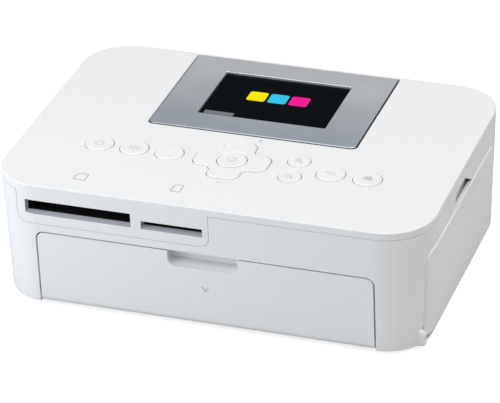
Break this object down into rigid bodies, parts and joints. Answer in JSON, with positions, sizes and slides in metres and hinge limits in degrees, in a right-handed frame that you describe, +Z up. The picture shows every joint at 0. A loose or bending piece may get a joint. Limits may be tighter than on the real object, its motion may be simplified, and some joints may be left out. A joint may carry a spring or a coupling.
{
  "type": "compact photo printer",
  "caption": "Compact dye-sublimation photo printer with a tilting display, keys, card slots, hinged front and side covers, ribbon cassette and roller drive.",
  "frame": {"origin": "on the surface that the feet rest on, under the middle of the housing", "axes": "+X to the right side seen from the front, +Y towards the back, +Z up; the front cover faces -Y"},
  "size_m": [0.178, 0.127, 0.056],
  "materials": {
    "white_shell": "glossy white moulded ABS",
    "white_key": "glossy white moulded key cap",
    "silver_frame": "silver-grey painted plastic, satin",
    "grey_plastic": "light grey moulded plastic",
    "black_window": "glossy black window",
    "display_metal": "stamped display frame",
    "steel": "zinc-plated steel",
    "circuit_board": "green solder mask",
    "socket_metal": "nickel-plated shell",
    "black_plastic": "black moulded plastic",
    "nylon": "natural nylon",
    "brass": "turned brass",
    "rubber": "black rubber",
    "cassette_plastic": "light grey polystyrene",
    "ribbon_film": "dye-coated film",
    "orange_lever": "orange moulded plastic",
    "ceramic_strip": "glazed ceramic strip",
    "heat_sink": "extruded aluminium"
  },
  "bodies": {
    "printer": {"upper_shell": "white_shell", "lower_shell": "white_shell", "lcd_hinge_pins": "steel", "keypad_board": "circuit_board", "main_board": "circuit_board", "large_card_socket": "black_plastic", "small_card_socket": "black_plastic", "usb_socket": "socket_metal", "power_inlet": "black_plastic", "left_side_plate": "steel", "right_side_plate": "steel", "paper_guide": "grey_plastic", "gear_plate": "steel", "feed_motor": "steel", "roller_bushes": "nylon", "ribbon_motor": "steel", "rubber_feet": "rubber", "screws": "steel"},
    "front_cover": {"front_cover": "white_shell"},
    "side_cover": {"side_cover": "white_shell"},
    "display": {"lcd_frame": "silver_frame", "lcd_tray": "grey_plastic", "lcd_window": "black_window", "lcd_module": "display_metal"},
    "power_key": {"power_button": "white_key"},
    "menu_key": {"menu_button": "white_key"},
    "edit_key": {"edit_button": "white_key"},
    "ok_key": {"ok_button": "white_key"},
    "zoom_in_key": {"zoom_in_button": "white_key"},
    "zoom_out_key": {"zoom_out_button": "white_key"},
    "back_key": {"back_button": "white_key"},
    "print_key": {"print_button": "white_key"},
    "pivot_ring": {"pad_pivot_ring": "grey_plastic"},
    "pad": {"direction_pad": "white_key"},
    "grip_drive": {"grip_roller": "steel", "grip_gear": "nylon"},
    "reduction": {"reduction_gear": "nylon"},
    "motor_drive": {"motor_pinion": "brass"},
    "idler": {"idler_gear": "nylon"},
    "pickup": {"pickup_shaft": "steel", "pickup_tyres": "rubber", "pickup_gear": "nylon"},
    "platen": {"platen_shaft": "steel", "platen_rubber": "rubber"},
    "pinch": {"pinch_roller": "rubber"},
    "takeup_drive": {"takeup_hub": "nylon"},
    "ribbon_drive": {"ribbon_pinion": "brass"},
    "supply_brake": {"supply_hub": "nylon"},
    "cassette": {"ink_cassette_case": "cassette_plastic", "ink_ribbon": "ribbon_film"},
    "supply_reel": {"supply_spool": "nylon", "supply_roll": "ribbon_film"},
    "takeup_reel": {"takeup_spool": "nylon", "takeup_roll": "ribbon_film"},
    "lever": {"eject_lever": "orange_lever"},
    "head": {"thermal_head": "ceramic_strip", "head_heat_sink": "heat_sink", "head_arm": "steel", "head_springs": "steel"},
    "cam": {"head_cam": "nylon"}
  },
  "joints": [
    {"name": "front_cover_hinge", "type": "hinge", "parent": "printer", "child": "front_cover", "pos_m": [0, -0.059, 0.0048], "axis": [1, 0, 0], "range_deg": [0, 90]},
    {"name": "side_cover_hinge", "type": "hinge", "parent": "printer", "child": "side_cover", "pos_m": [0.08503, -0.0025, 0.0066], "axis": [0, 1, 0], "range_deg": [0, 85]},
    {"name": "display_tilt", "type": "hinge", "parent": "printer", "child": "display", "pos_m": [0, 0.0018, 0.0529], "axis": [1, 0, 0], "range_deg": [0, 45]},
    {"name": "power_press", "type": "slide", "parent": "printer", "child": "power_key", "axis": [0, 0, -1], "range_m": [0, 0.0004], "stiffness_N_per_m": 400, "springref_m": -0.001},
    {"name": "menu_press", "type": "slide", "parent": "printer", "child": "menu_key", "axis": [0, 0, -1], "range_m": [0, 0.0004], "stiffness_N_per_m": 400, "springref_m": -0.001},
    {"name": "edit_press", "type": "slide", "parent": "printer", "child": "edit_key", "axis": [0, 0, -1], "range_m": [0, 0.0004], "stiffness_N_per_m": 400, "springref_m": -0.001},
    {"name": "ok_press", "type": "slide", "parent": "printer", "child": "ok_key", "axis": [0, 0, -1], "range_m": [0, 0.0004], "stiffness_N_per_m": 400, "springref_m": -0.001},
    {"name": "zoom_in_press", "type": "slide", "parent": "printer", "child": "zoom_in_key", "axis": [0, 0, -1], "range_m": [0, 0.0004], "stiffness_N_per_m": 400, "springref_m": -0.001},
    {"name": "zoom_out_press", "type": "slide", "parent": "printer", "child": "zoom_out_key", "axis": [0, 0, -1], "range_m": [0, 0.0004], "stiffness_N_per_m": 400, "springref_m": -0.001},
    {"name": "back_press", "type": "slide", "parent": "printer", "child": "back_key", "axis": [0, 0, -1], "range_m": [0, 0.0004], "stiffness_N_per_m": 400, "springref_m": -0.001},
    {"name": "print_press", "type": "slide", "parent": "printer", "child": "print_key", "axis": [0, 0, -1], "range_m": [0, 0.0004], "stiffness_N_per_m": 400, "springref_m": -0.001},
    {"name": "pad_rock_front_back", "type": "hinge", "parent": "printer", "child": "pivot_ring", "pos_m": [-0.0004, -0.0233, 0.0503], "axis": [1, 0, 0], "range_deg": [-2, 2], "stiffness_Nm_per_rad": 0.05},
    {"name": "pad_rock_side", "type": "hinge", "parent": "pivot_ring", "child": "pad", "pos_m": [-0.0004, -0.0233, 0.0514], "axis": [0, 1, 0], "range_deg": [-2, 2], "stiffness_Nm_per_rad": 0.05},
    {"name": "grip_roller_spin", "type": "hinge", "parent": "printer", "child": "grip_drive", "pos_m": [0, 0.036, 0.0168], "axis": [1, 0, 0], "continuous": true},
    {"name": "reduction_gear_spin", "type": "hinge", "parent": "printer", "child": "reduction", "pos_m": [0, 0.0242, 0.02506], "axis": [1, 0, 0], "continuous": true},
    {"name": "feed_motor_spin", "type": "hinge", "parent": "printer", "child": "motor_drive", "pos_m": [0, 0.0074, 0.02056], "axis": [1, 0, 0], "continuous": true},
    {"name": "idler_gear_spin", "type": "hinge", "parent": "printer", "child": "idler", "pos_m": [0, -0.00802, 0.02552], "axis": [1, 0, 0], "continuous": true},
    {"name": "pickup_roller_spin", "type": "hinge", "parent": "printer", "child": "pickup", "pos_m": [0, -0.024, 0.016], "axis": [1, 0, 0], "continuous": true},
    {"name": "platen_roller_spin", "type": "hinge", "parent": "printer", "child": "platen", "pos_m": [0, -0.006, 0.0153], "axis": [1, 0, 0], "continuous": true},
    {"name": "pinch_roller_spin", "type": "hinge", "parent": "printer", "child": "pinch", "pos_m": [0, 0.036, 0.02345], "axis": [1, 0, 0], "continuous": true},
    {"name": "takeup_hub_spin", "type": "hinge", "parent": "printer", "child": "takeup_drive", "pos_m": [0, -0.032, 0.03], "axis": [1, 0, 0], "continuous": true},
    {"name": "ribbon_motor_spin", "type": "hinge", "parent": "printer", "child": "ribbon_drive", "pos_m": [0, -0.047, 0.03], "axis": [1, 0, 0], "continuous": true},
    {"name": "supply_hub_spin", "type": "hinge", "parent": "printer", "child": "supply_brake", "pos_m": [0, 0.0185, 0.03], "axis": [1, 0, 0], "continuous": true},
    {"name": "cassette_eject", "type": "slide", "parent": "printer", "child": "cassette", "axis": [1, 0, 0], "range_m": [0, 0.005]},
    {"name": "takeup_reel_spin", "type": "hinge", "parent": "cassette", "child": "takeup_reel", "pos_m": [0, -0.032, 0.03], "axis": [1, 0, 0], "continuous": true},
    {"name": "supply_reel_spin", "type": "hinge", "parent": "cassette", "child": "supply_reel", "pos_m": [0, 0.0185, 0.03], "axis": [1, 0, 0], "continuous": true},
    {"name": "eject_lever_turn", "type": "hinge", "parent": "printer", "child": "lever", "pos_m": [0.069, -0.0515, 0.03], "axis": [0, 0, -1], "range_deg": [0, 31]},
    {"name": "head_lift", "type": "hinge", "parent": "printer", "child": "head", "pos_m": [0, 0.0315, 0.0385], "axis": [1, 0, 0], "range_deg": [0, 2.5]},
    {"name": "head_cam_turn", "type": "hinge", "parent": "printer", "child": "cam", "pos_m": [0, 0.0435, 0.0335], "axis": [1, 0, 0], "range_deg": [0, 90]}
  ],
  "couplings": [
    {"joint": "reduction_gear_spin", "follows": "grip_roller_spin", "ratio": -2.4286},
    {"joint": "feed_motor_spin", "follows": "grip_roller_spin", "ratio": 7.6327},
    {"joint": "idler_gear_spin", "follows": "grip_roller_spin", "ratio": -2.6714},
    {"joint": "pickup_roller_spin", "follows": "grip_roller_spin", "ratio": 4.8571},
    {"joint": "takeup_hub_spin", "follows": "takeup_reel_spin", "ratio": 1},
    {"joint": "ribbon_motor_spin", "follows": "takeup_reel_spin", "ratio": -2.5714},
    {"joint": "supply_hub_spin", "follows": "supply_reel_spin", "ratio": 1},
    {"joint": "head_cam_turn", "follows": "head_lift", "ratio": 36},
    {"joint": "eject_lever_turn", "follows": "cassette_eject", "rad_per_m": 107.85}
  ]
}
